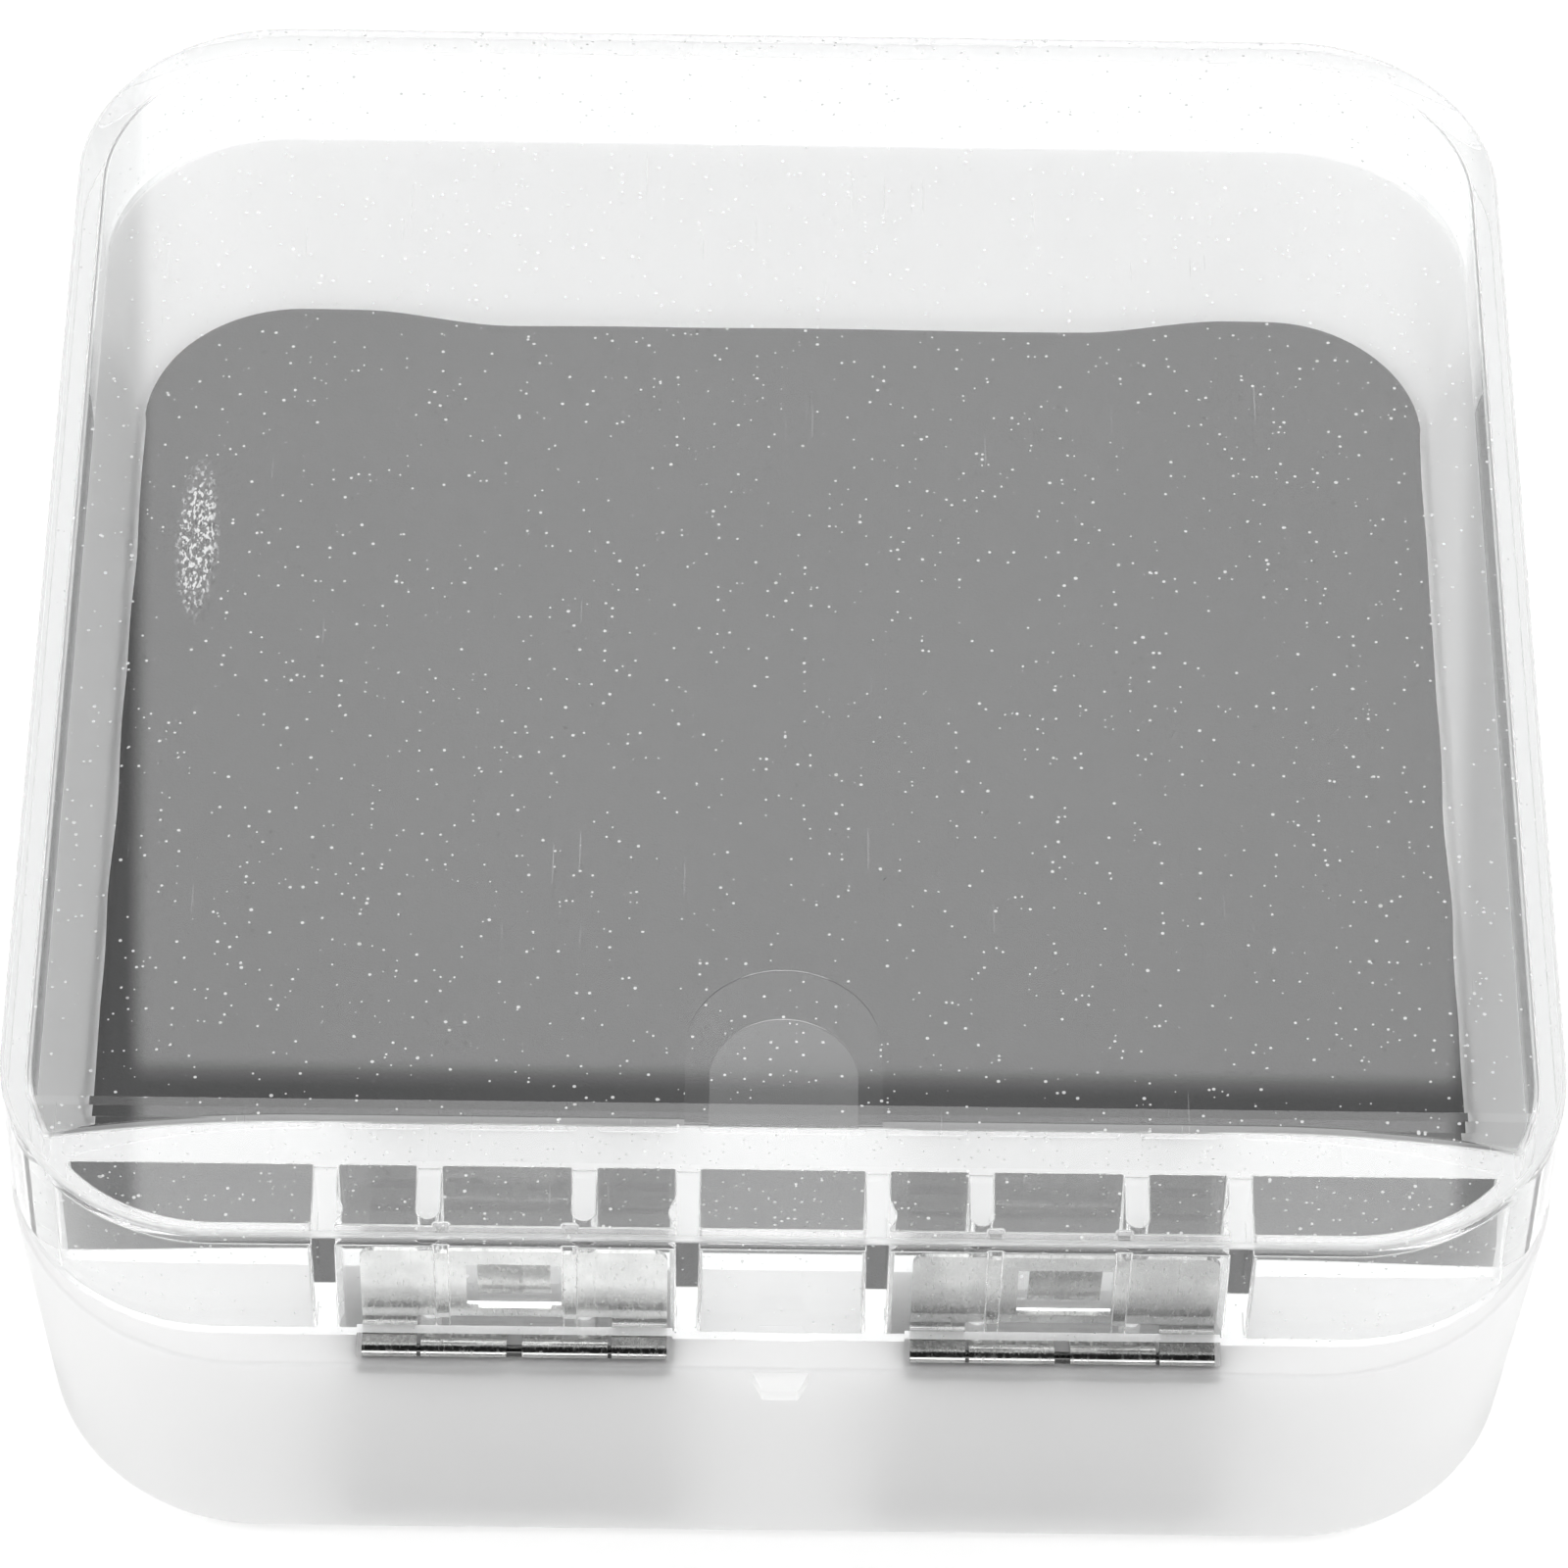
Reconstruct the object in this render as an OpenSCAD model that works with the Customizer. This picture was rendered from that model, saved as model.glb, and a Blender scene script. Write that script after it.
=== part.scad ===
// Rounded-square storage case: a white tub and a clear lid, joined by two stamped box hinges.
// Origin: centre of the tub's underside. +Z is up, the hinge side faces -Y, +X is to the right.

/* [Case] */
// Width of the case
case_w = 100; // [90:1:120]
// Depth of the tub at its rim, from the hinge side to the opening side
tub_d = 108.3; // [98:0.1:130]
// Height of the tub
tub_h = 22; // [19:0.5:32]
// Height of the lid
lid_h = 11; // [10.5:0.5:16]
// How far the lid's hinge wall is set back from the tub's edge, which leaves a ledge for the barrels
ledge_w = 2.3; // [2.2:0.1:2.6]
// Corner radius on the opening side
corner_r = 14.3; // [10:0.1:18]
// Corner radius of the tub on the hinge side
ledge_corner_r = 16.2; // [12:0.1:20]

/* [Walls] */
// Thickness of the walls
wall_t = 1.5; // [1.3:0.1:2]
// Thickness of the tub's floor
floor_t = 2; // [1.5:0.1:3]
// Thickness of the lid's panel
panel_t = 2; // [1.5:0.1:2.4]
// How far each tub wall leans in between the rim and the floor
draft = 1.7; // [0.5:0.1:2]
// Chamfer round the lid's top edge
lid_edge_c = 0.3; // [0.2:0.1:0.8]
// Chamfer round the tub's bottom edge
tub_edge_c = 0.8; // [0.4:0.1:1.2]
// Gap left between the lid and the tub at the parting line
seam_gap = 0.05; // [0.02:0.01:0.2]

/* [Hinge pockets] */
// Distance from the lid's hinge-side face to the cavity face of the cross wall
cross_back = 9.6; // [9:0.1:12]
// Thickness of the cross wall
cross_t = 3.2; // [2:0.1:3.6]
// Half the length of the cross wall's straight middle
cross_straight = 30; // [29.6:0.1:33]
// Radius of the curved ends of the cross wall's cavity face
cross_end_r = 95; // [70:1:120]
// Thickness of each rib
rib_t = 1.3; // [0.8:0.1:1.6]
// Distance of the inner end ribs from the middle of the case
inner_rib_x = 6; // [5.8:0.1:6.1]
// Distance of the outer end ribs from the middle of the case
outer_rib_x = 28.9; // [28.8:0.1:29.5]
// Distance of the backing ribs from the middle of their pocket
backing_rib_x = 4.9; // [4.6:0.1:5.2]
// Distance of the thin front ribs from the middle of their pocket
front_rib_x = 4.05; // [3.8:0.05:4.3]
// How far the centring bumps stand out of the end ribs
bump_h = 0.5; // [0.2:0.05:0.55]

/* [Hinges] */
// Length of each barrel
barrel_l = 19.4; // [19:0.1:19.6]
// Outer diameter of each barrel
barrel_d = 1.5; // [1.3:0.05:1.6]
// Sheet thickness of the leaves
leaf_t = 0.3; // [0.25:0.01:0.32]
// Diameter of the hinge pin
pin_d = 0.8; // [0.5:0.05:0.85]
// Height of each leaf above or below the parting line
leaf_h = 8.1; // [7:0.1:8.4]
// Sideways shift of both hinges in their pockets
hinge_shift = 0.5; // [-0.5:0.05:0.5]
// Distance of the barrel's axis in front of the lid's hinge-side face
axis_out = 0.7; // [0.65:0.05:0.75]
// Depth of the barrel's axis below the parting line
axis_drop = 0.45; // [0.4:0.01:0.5]

/* [Pad] */
// Thickness of the pad
pad_t = 4.5; // [3:0.5:8]
// Gap between the pad and the walls at floor level
pad_gap = 0.15; // [0.1:0.05:1]

/* [Hidden] */
$fn = 96;
eps = 0.01;

half_w = case_w / 2;
tub_near = -tub_d / 2;
far_y = tub_d / 2;
lid_near = tub_near + ledge_w;
top_z = tub_h + lid_h;
panel_z = top_z - panel_t;
slope = draft / tub_h;
floor_inset = wall_t + slope * (tub_h - floor_t);

pocket_y = lid_near + wall_t;
cross_y = lid_near + cross_back;
hinge_x = (inner_rib_x + outer_rib_x) / 2;
hinge_centres = [-hinge_x + hinge_shift, hinge_x + hinge_shift];

axis_y = lid_near - axis_out;
axis_z = tub_h - axis_drop;
barrel_r = barrel_d / 2;
eye_r = barrel_r - leaf_t;
pin_inset = 0.1;
pin_l = barrel_l - 2 * pin_inset;
leaf_gap = 0.35;
leaf_y = pocket_y + leaf_gap;
leaf_back = leaf_y + leaf_t;
bend_r = 0.6;
leaf_corner_r = 0.9;
plate_y = leaf_y - axis_y;
bend_y = plate_y + leaf_t - bend_r;
bend_z = barrel_r - leaf_t + bend_r;
plate_start = 1 + axis_drop;
plate_end = leaf_h + axis_drop;
window_half = 3;
window_bottom = 1.9;
window_top = 6.65;
tongue_half = 2.3;
tongue_l = 4.5;
tongue_lean = 12;
tongue_root = 0.06;

centre_gap = 1;
knuckle_gap = 0.25;
outer_knuckle_l = 3.5;
outer_knuckle_x = barrel_l / 2 - outer_knuckle_l;
inner_knuckle_x = centre_gap / 2;
inner_knuckle_l = outer_knuckle_x - knuckle_gap - inner_knuckle_x;

groove_clear = 0.08;
run_clear = 0.1;
groove_floor = axis_z - barrel_r - run_clear;
groove_l = barrel_l + 0.7;
lid_relief = axis_z + barrel_r + run_clear;

catch_h = 0.8;
catch_gap = 0.2;
bump_w = 2.6;
front_rib_t = 0.9;
front_rib_start = 1.3;
backing_gap = 0.1;

gate_root_w = 3.6;
gate_tip_w = 2.3;
gate_l = 1.4;
gate_t = 1;
gate_drop = 0.25;
mark_w = 4;
mark_top_w = 2.8;
mark_h = 1.6;
mark_t = 0.05;

inner_arch_r = 4.75;
inner_arch_l = 8.7;
inner_arch_t = 0.3;
outer_arch_r = 6.3;
outer_arch_l = 12.6;
outer_arch_t = 0.15;

// Rounded rectangle, with one corner radius on the hinge side and another on the opening side.
module plan(x, near, far, near_r, far_r) {
    for (s = [-1, 1]) {
        translate([s * (x - near_r), near + near_r]) circle(near_r);
        translate([s * (x - far_r), far - far_r]) circle(far_r);
    }
    translate([-x, near + near_r]) square([2 * x, far - far_r - near - near_r]);
    translate([-x + near_r, near]) square([2 * (x - near_r), near_r]);
    translate([-x + far_r, far - far_r]) square([2 * (x - far_r), far_r]);
}

// Profile in Y and Z, extruded evenly on both sides of X = 0.
module along_x(length) {
    translate([-length / 2, 0, 0]) rotate([90, 0, 90]) linear_extrude(length) children();
}

// Block on the tub's plan whose walls are inset by inset0 at z0 and by inset1 at z1.
module leaning_block(near, near_r, z0, z1, inset0, inset1) {
    near_x = half_w - near_r;
    far_x = half_w - corner_r;
    near_c = near + near_r;
    far_c = far_y - corner_r;
    for (s = [-1, 1]) {
        translate([s * near_x, near_c, z0]) cylinder(h = z1 - z0, r1 = near_r - inset0, r2 = near_r - inset1);
        translate([s * far_x, far_c, z0]) cylinder(h = z1 - z0, r1 = corner_r - inset0, r2 = corner_r - inset1);
    }
    along_x(2 * near_x)
        polygon([[near + inset0, z0], [0, z0], [0, z1], [near + inset1, z1]]);
    along_x(2 * far_x)
        polygon([[0, z0], [far_y - inset0, z0], [far_y - inset1, z1], [0, z1]]);
    translate([0, far_c, 0]) rotate([90, 0, 0]) linear_extrude(far_c - near_c)
        polygon([[-half_w + inset0, z0], [half_w - inset0, z0], [half_w - inset1, z1], [-half_w + inset1, z1]]);
}

// Wall across the case: its hinge-side face is straight, its cavity face curves away at both ends.
module cross_wall(z0, z1) {
    translate([0, 0, z0]) linear_extrude(z1 - z0) intersection() {
        translate([-half_w, cross_y - cross_t]) square([case_w, cross_t]);
        union() {
            translate([-cross_straight, cross_y - cross_t]) square([2 * cross_straight, cross_t]);
            for (s = [-1, 1]) translate([s * cross_straight, cross_y - cross_end_r]) circle(cross_end_r, $fn = 360);
        }
    }
}

// The solid parts of the tub between, and on both sides of, the hinge pockets.
module pocket_blocks(z0, z1) {
    back = cross_y - cross_t / 2;
    for (x = [[-half_w, -outer_rib_x], [-inner_rib_x, inner_rib_x], [outer_rib_x, half_w]]) {
        translate([x[0], tub_near, z0]) cube([x[1] - x[0], back - tub_near, z1 - z0]);
    }
}

// Ribs that guide one leaf: the end ribs with their bumps, the backing ribs and the front ribs.
// The front ribs cover front_z0 to front_z1, the others z0 to z1.
module pocket_ribs(z0, z1, front_z0, front_z1) {
    back = cross_y - cross_t / 2;
    for (side = [-1, 1]) {
        for (x = [inner_rib_x, outer_rib_x]) {
            translate([side * x - rib_t / 2, pocket_y - eps, z0]) cube([rib_t, back - pocket_y, z1 - z0]);
            inward = x < hinge_x ? 1 : -1;
            translate([side * (x + inward * rib_t / 2), leaf_back + 0.6, z0])
                bump(z1 - z0);
        }
        for (s = [-1, 1]) {
            translate([side * hinge_x + s * backing_rib_x - rib_t / 2, leaf_back + backing_gap + rib_t / 2, z0])
                cube([rib_t, back - leaf_back - backing_gap - rib_t / 2, z1 - z0]);
            translate([side * hinge_x + s * backing_rib_x, leaf_back + backing_gap + rib_t / 2, z0])
                cylinder(h = z1 - z0, d = rib_t);
            translate([side * hinge_x + s * front_rib_x - front_rib_t / 2, pocket_y - eps, front_z0])
                cube([front_rib_t, leaf_gap - 0.05 + eps, front_z1 - front_z0]);
        }
    }
}

// Lens-shaped bump on an end rib's face; half of it lies in the rib.
module bump(h) {
    r = (bump_w * bump_w / 4 + bump_h * bump_h) / (2 * bump_h);
    intersection() {
        translate([bump_h - r, 0, 0]) cylinder(h = h, r = r);
        translate([r - bump_h, 0, 0]) cylinder(h = h, r = r);
    }
}

// Bar between two backing ribs that a leaf's tongue catches on.
module catch_bar(z) {
    for (side = [-1, 1]) {
        translate([side * hinge_x - backing_rib_x, leaf_back + backing_gap, z])
            cube([2 * backing_rib_x, cross_y - cross_t / 2 - leaf_back - backing_gap, catch_h]);
    }
}

// Trapezium in X and Z that stands out of a wall towards -Y.
module gate_mark() {
    translate([0, lid_near + 0.2, tub_h + seam_gap]) rotate([90, 0, 0]) linear_extrude(0.2 + mark_t)
        polygon([[-mark_w / 2, 0], [mark_w / 2, 0], [mark_top_w / 2, mark_h], [-mark_top_w / 2, mark_h]]);
}

// Round-ended pad on the underside of the lid's panel, behind the cross wall.
module arch_pad(r, length, t) {
    translate([0, 0, panel_z - t]) linear_extrude(t + 0.2) {
        translate([0, cross_y + length - r]) circle(r);
        translate([-r, cross_y - cross_t / 2]) square([2 * r, length - r + cross_t / 2]);
    }
}

module base_tub() {
    color([0.93, 0.93, 0.92]) difference() {
        union() {
            leaning_block(tub_near, ledge_corner_r, tub_edge_c, tub_h, slope * (tub_h - tub_edge_c), 0);
            leaning_block(tub_near, ledge_corner_r, 0, tub_edge_c, draft + tub_edge_c,
                slope * (tub_h - tub_edge_c));
            gate_stub();
        }
        difference() {
            leaning_block(lid_near - wall_t, ledge_corner_r, floor_t, tub_h + 1, floor_inset, wall_t - slope);
            translate([-half_w, tub_near, 0]) cube([case_w, pocket_y - tub_near, tub_h + 2]);
            cross_wall(0, tub_h + 2);
            pocket_blocks(0, tub_h + 2);
            pocket_ribs(0, tub_h + 2, tub_h - leaf_h, tub_h - axis_drop - barrel_r - front_rib_start);
            catch_bar(axis_z - window_top - axis_drop + tongue_l + catch_gap);
        }
        for (x = hinge_centres) barrel_groove(x);
    }
}

// Groove in the ledge for one barrel, open to the pocket behind it so that the leaf can pass.
module barrel_groove(x) {
    front = axis_y - barrel_r - groove_clear;
    translate([x - groove_l / 2, front, groove_floor])
        cube([groove_l, pocket_y + eps - front, tub_h + 1 - groove_floor]);
}

// Stub left on the rim where the moulding gate was cut off.
module gate_stub() {
    z = tub_h - gate_drop - gate_t;
    root = tub_near + 0.5;
    translate([0, 0, z]) linear_extrude(gate_t)
        polygon([[-gate_root_w / 2, root], [-gate_root_w / 2, tub_near], [-gate_tip_w / 2, tub_near - gate_l],
                 [gate_tip_w / 2, tub_near - gate_l], [gate_root_w / 2, tub_near], [gate_root_w / 2, root]]);
}

module lid() {
    bottom = tub_h + seam_gap;
    color([0.85, 0.9, 0.93, 0.35]) {
        difference() {
            union() {
                translate([0, 0, bottom]) linear_extrude(lid_h - seam_gap - lid_edge_c)
                    plan(half_w, lid_near, far_y, corner_r, corner_r);
                leaning_block(lid_near, corner_r, top_z - lid_edge_c, top_z, 0, lid_edge_c);
            }
            difference() {
                translate([0, 0, bottom - 1]) linear_extrude(panel_z - bottom + 1)
                    plan(half_w - wall_t, pocket_y, far_y - wall_t, corner_r - wall_t, corner_r - wall_t);
                cross_wall(bottom, panel_z + eps);
                pocket_ribs(bottom, panel_z + eps, bottom + front_rib_start, panel_z + eps);
                catch_bar(axis_z + window_top + axis_drop - tongue_l - catch_gap - catch_h);
            }
            for (x = hinge_centres) leaf_slot(x);
        }
        gate_mark();
        arch_pad(inner_arch_r, inner_arch_l, inner_arch_t);
        arch_pad(outer_arch_r, outer_arch_l, outer_arch_t);
    }
}

// Relief under the lid's hinge wall for one barrel and the leaf that runs back from it.
module leaf_slot(x) {
    translate([x - groove_l / 2, lid_near - 1, tub_h - 1])
        cube([groove_l, pocket_y + eps - lid_near + 1, lid_relief - tub_h + 1]);
}

// One leaf in the lid's attitude, with the barrel's axis at Y = Z = 0 and an eye at each [start, length] of eyes.
module leaf(eyes) {
    translate([0, plate_y + leaf_t, 0]) rotate([90, 0, 0]) linear_extrude(leaf_t) leaf_plate();
    for (e = eyes) translate([e[0], 0, 0]) rotate([90, 0, 90]) linear_extrude(e[1]) leaf_strip();
    tongue();
}

// Flat plate of a leaf in X and Z: rounded at its free corners, with a window for the tongue.
module leaf_plate() {
    half = barrel_l / 2;
    difference() {
        union() {
            translate([-half, plate_start]) square([barrel_l, plate_end - leaf_corner_r - plate_start]);
            translate([-half + leaf_corner_r, plate_start])
                square([barrel_l - 2 * leaf_corner_r, plate_end - plate_start]);
            for (s = [-1, 1]) translate([s * (half - leaf_corner_r), plate_end - leaf_corner_r]) circle(leaf_corner_r);
        }
        translate([-window_half, window_bottom + axis_drop])
            square([2 * window_half, window_top - window_bottom]);
    }
}

// Profile in Y and Z of the strip that joins the plate to an eye: the foot, the bend, the run and the eye.
module leaf_strip() {
    translate([plate_y, bend_z]) square([leaf_t, plate_start + eps - bend_z]);
    translate([bend_y, bend_z]) intersection() {
        difference() {
            circle(bend_r);
            circle(bend_r - leaf_t);
        }
        translate([0, -bend_r]) square(bend_r);
    }
    difference() {
        union() {
            circle(barrel_r);
            translate([0, barrel_r - leaf_t]) square([bend_y, leaf_t]);
        }
        circle(eye_r);
    }
}

// Sprung tongue, hanging from the window's upper edge and leaning away from the outer wall.
module tongue() {
    translate([-tongue_half, plate_y, window_top + axis_drop]) rotate([tongue_lean, 0, 0])
        translate([0, 0, -tongue_l]) cube([2 * tongue_half, leaf_t, tongue_l + tongue_root]);
}

outer_eyes = [[-barrel_l / 2, outer_knuckle_l], [outer_knuckle_x, outer_knuckle_l]];
inner_eyes = [[-inner_knuckle_x - inner_knuckle_l, inner_knuckle_l], [inner_knuckle_x, inner_knuckle_l]];

module lid_leaf(x) {
    color("silver") translate([x, axis_y, axis_z]) leaf(outer_eyes);
}

module base_leaf(x) {
    color("silver") translate([x, axis_y, axis_z]) mirror([0, 0, 1]) leaf(inner_eyes);
}

module hinge_pin(x) {
    color("gray") translate([x - pin_l / 2, axis_y, axis_z]) rotate([0, 90, 0]) cylinder(h = pin_l, d = pin_d);
}

// Pad cut to the tub's floor; its hinge-side edge follows the cross wall.
module foam_pad() {
    inset = floor_inset + pad_gap;
    near = lid_near - wall_t + inset;
    color([0.2, 0.2, 0.21]) translate([0, 0, floor_t]) linear_extrude(pad_t) difference() {
        plan(half_w - inset, near, far_y - inset, ledge_corner_r - inset, corner_r - inset);
        translate([-cross_straight, near - 1]) square([2 * cross_straight, cross_y + pad_gap - near + 1]);
        for (s = [-1, 1]) translate([s * cross_straight, cross_y - cross_end_r])
            circle(cross_end_r + pad_gap, $fn = 360);
    }
}

base_tub();
foam_pad();
lid();
lid_leaf(hinge_centres[0]);  // left_lid_leaf
lid_leaf(hinge_centres[1]);  // right_lid_leaf
base_leaf(hinge_centres[0]);  // left_base_leaf
base_leaf(hinge_centres[1]);  // right_base_leaf
hinge_pin(hinge_centres[0]);  // left_hinge_pin
hinge_pin(hinge_centres[1]);  // right_hinge_pin
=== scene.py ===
"""Looks of the hinged storage case: white frosted tub, clear lid, dark pad and stamped steel hinges."""
import math

import bmesh
import bpy
from mathutils import Matrix, Quaternion, Vector, noise
from mathutils.geometry import tessellate_polygon


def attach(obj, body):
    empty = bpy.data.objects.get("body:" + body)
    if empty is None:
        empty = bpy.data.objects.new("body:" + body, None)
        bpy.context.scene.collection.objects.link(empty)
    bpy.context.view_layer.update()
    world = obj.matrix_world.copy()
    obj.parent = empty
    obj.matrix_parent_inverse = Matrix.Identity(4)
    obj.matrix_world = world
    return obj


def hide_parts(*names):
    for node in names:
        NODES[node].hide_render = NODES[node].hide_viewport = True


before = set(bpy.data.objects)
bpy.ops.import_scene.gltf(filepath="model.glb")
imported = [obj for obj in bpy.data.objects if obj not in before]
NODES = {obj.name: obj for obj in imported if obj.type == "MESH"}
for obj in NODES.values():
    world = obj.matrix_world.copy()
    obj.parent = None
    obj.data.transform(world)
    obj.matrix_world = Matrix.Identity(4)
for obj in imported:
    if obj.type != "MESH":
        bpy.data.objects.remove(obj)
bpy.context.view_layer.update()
SCENE = bpy.context.scene

# ---------------------------------------------------------------- sizes, in millimetres, as in the CAD
MM = 0.001
CASE_W, TUB_D, TUB_H, LID_H = 100.0, 108.3, 22.0, 11.0
LEDGE_W, CORNER_R, LEDGE_CORNER_R = 2.3, 14.3, 16.2
WALL_T, FLOOR_T, PANEL_T, DRAFT = 1.5, 2.0, 2.0, 1.7
SEAM_GAP, LID_EDGE_R = 0.05, 0.4
CROSS_BACK, CROSS_T, CROSS_STRAIGHT, CROSS_END_R = 9.6, 3.2, 30.0, 95.0
RIB_T, INNER_RIB_X, OUTER_RIB_X, BACKING_RIB_X, FRONT_RIB_X = 1.3, 6.0, 28.9, 4.9, 4.05
BUMP_H, BUMP_W, BUMP_BACK, RIB_TIP_BACK, FRONT_RIB_T, FRONT_RIB_H = 0.5, 2.6, 1.25, 0.75, 0.9, 0.3
CATCH_LOW, CATCH_HIGH, CATCH_H, BAR_BACK = 19.15, 23.15, 0.8, 0.1
HINGE_SHIFT, GROOVE_L, GROOVE_FRONT, GROOVE_Z, RELIEF_Z = 0.5, 20.1, -53.38, 20.7, 22.4
INNER_ARCH, OUTER_ARCH = (4.75, 8.7, 0.3), (6.3, 12.6, 0.15)
GATE_ROOT_W, GATE_TIP_W, GATE_L, GATE_Z = 3.6, 2.3, 1.4, 20.75
MARK_W, MARK_TOP_W, MARK_H, MARK_T = 4.0, 2.8, 1.6, 0.05
PAD_T, PAD_GAP = 4.5, 0.15
SCUFF_X, SCUFF_Y, SCUFF_HALF_W, SCUFF_HALF_L = -39.8, 6.0, 1.6, 7.5
SINK_START, SINK_BOTTOM, SINK_RISE, SINK_DEPTH = 8.0, 1.0, 1.6, 0.18

# Radii of upright corners, seen from above.
CELL_R, POCKET_R, FRONT_RIB_R, BUMP_R, BUMP_FOOT_R = 0.35, 0.2, 0.1, 0.8, 0.3
CAVITY_TIP_R, PAD_TIP_R, GATE_R = 0.7, 0.6, 0.25
# Radii of edges at the cells' ends, the panel, the tub's rim, foot and floor. Bevels at the openings.
CELL_END_R, POCKET_END_R, PANEL_END_R, RIM_R, FOOT_R, FLOOR_R = 0.12, 0.2, 0.5, 0.3, 1.6, 0.4
LIP, TUB_LIP = 0.05, 0.1
# Taper of a cell, flat left on a rib's round tip, and how much steeper a bump is in front.
CELL_TAPER, TIP_FLAT, BUMP_STEEP = 0.06, 0.03, 0.4
# How far a tool runs past what it cuts or touches it, and how deep an added shape is sunk.
OVER, TOUCH, SUNK, GATE_ROOT, GATE_T = 1.0, 0.01, 0.2, 0.5, 1.0
# How far rows of points stop before a rounded corner, and where the search for that corner starts.
TIP_CLEAR, PAD_TIP_CLEAR, CELL_CLEAR, SEARCH_X = 1.2, 0.9, 0.5, 36
# Depths below the panel and above the rim within which faces are dulled.
SOFT_ZONE, RIM_ZONE = 0.6, 0.06
# The hand-cut pad: foot, lean and upper edge, how much its edge wavers, the hollow in its far edge, and the
# dips in its top. Wave values are features per millimetre; the rings are shares of the edge's reach.
PAD_FOOT, PAD_FOOT_H, PAD_LEAN, PAD_EDGE_R = 0.25, 0.3, 0.05, 0.9
PAD_WAVER_FAR, PAD_WAVER, PAD_WAVE = 0.05, 0.18, 0.13
PAD_HOLLOW, PAD_HOLLOW_X, PAD_HOLLOW_START, PAD_HOLLOW_END, PAD_HOLLOW_BAND = 1.35, 1.0, 32, 21, 2
PAD_DIP, PAD_DIP_WAVE, PAD_DIP_ZONE, PAD_MIDDLE = 0.12, 0.09, 0.7, (0, 5)
PAD_TOP_RINGS = 0.95, 0.88, 0.8, 0.65, 0.5, 0.33, 0.16

HALF_W = CASE_W / 2
TUB_NEAR, FAR_Y = -TUB_D / 2, TUB_D / 2
LID_NEAR = TUB_NEAR + LEDGE_W
TOP_Z = TUB_H + LID_H
PANEL_Z = TOP_Z - PANEL_T
LID_BOTTOM = TUB_H + SEAM_GAP
POCKET_Y = LID_NEAR + WALL_T
CROSS_Y = LID_NEAR + CROSS_BACK
HINGE_X = (INNER_RIB_X + OUTER_RIB_X) / 2
BUMP_Y = POCKET_Y + BUMP_BACK
RIB_TIP_Y = POCKET_Y + RIB_TIP_BACK
SLOPE = DRAFT / TUB_H
ARC_STEPS = 24

# ---------------------------------------------------------------- looks
# Tones, shares and roughness run from 0 to 1.
# The lid's surfaces, in the order of its material slots: name, haze and roughness.
# The worn edge is mostly milky white: partly real wear, partly a painted highlight along the lid's lower edge
# and over the barrels.
LID_SURFACES = (("clear_plastic", 0.016, 0.0), ("hazy_clear", 0.04, 0.05), ("frosted_clear", 0.12, 0.12),
                ("worn_edge_painted_highlight", 0.75, 0.3), ("soft_edge", 0.3, 0.1))
HAZY, FROSTED, WORN_PAINTED_HIGHLIGHT, SOFT = 1, 2, 3, 4
CLEAR_TINT, CLEAR_IOR = (0.985, 0.99, 0.99, 1), 1.58
# Small marks: cells per millimetre along X, Y and Z, radius in cells, and share of the cells that have one.
FINE_DUST, COARSE_DUST = ((2.4, 2.4, 2.4), 0.3, 0.12), ((0.5, 0.5, 0.5), 0.07, 0.35)
SCRATCHES, LINT = ((2.2, 0.05, 0.5), 0.1, 0.5), ((0.45, 0.45, 0.45), 0.07, 0.4)
DUST_COVER, SCRATCH_COVER = 0.7, 0.25
# Noise: features per millimetre along X, Y and Z, and the values between which a mark or patch comes in.
SCUFF_GRAIN, CLOUDS, FOAM_GRAIN = (4.0, 1.8, 4.0), (0.05, 0.05, 0.05), (6, 6, 6)
ROLLING_MARKS, WEAR_MARKS, PATCHES = (0.6, 6, 6), (4, 2.5, 1.0), (0.25, 0.25, 0.25)
SCUFF_STEP, PATCH_STEP, WEAR_STEP = (0.54, 0.6), (0.35, 0.65), (0.35, 0.7)
# Colours, each a pair between which noise chooses. Reach is in metres, reliefs are in millimetres.
WHITE_TONES = (0.955, 0.955, 0.95, 1), (0.975, 0.975, 0.97, 1)
LIGHT_REACH, WHITE_ROUGHNESS = 0.01, 0.3
FOAM_TONES = (0.032, 0.032, 0.0325, 1), (0.06, 0.06, 0.061, 1)
LINT_TONE, FOAM_ROUGHNESS, FOAM_RELIEF = (0.5, 0.5, 0.49, 1), 0.9, 0.12
# The pins' tones are painted dark so the gaps between the knuckles read as shaded slots: painted shade.
LEAF_TONES, PIN_SHADE_TONES, METAL_WARMTH = (0.45, 0.9), (0.1, 0.25), 0.99
STEEL_ROUGHNESS, ROLLING_RELIEF, WEAR_RELIEF = (0.12, 0.3), 0.005, 0.004
# The plates are painted up to 0.7 of the way to their pale tone towards the left: a painted sheen, not a
# different steel.
PATCH_SHARE, LEFT_SHEEN_SHARE = 0.35, 0.7
FLOOR_SIZE, FLOOR_TONE, FLOOR_ROUGHNESS, FLOOR_GLOW = 8, 0.95, 0.6, 0.25

# Brightness of the world: what is seen directly, the horizon, the ceiling and the sides.
BACKDROP, SWEEP, CEILING, SIDES = 0.32, 0.068, 0.018, 0.07
# Where the sweep ends and the ceiling starts, by height, and the ceiling ends and the sides start, by width.
SWEEP_END, CEILING_START, CEILING_END, SIDES_START = 0.3, 0.5, 0.14, 0.35
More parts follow.
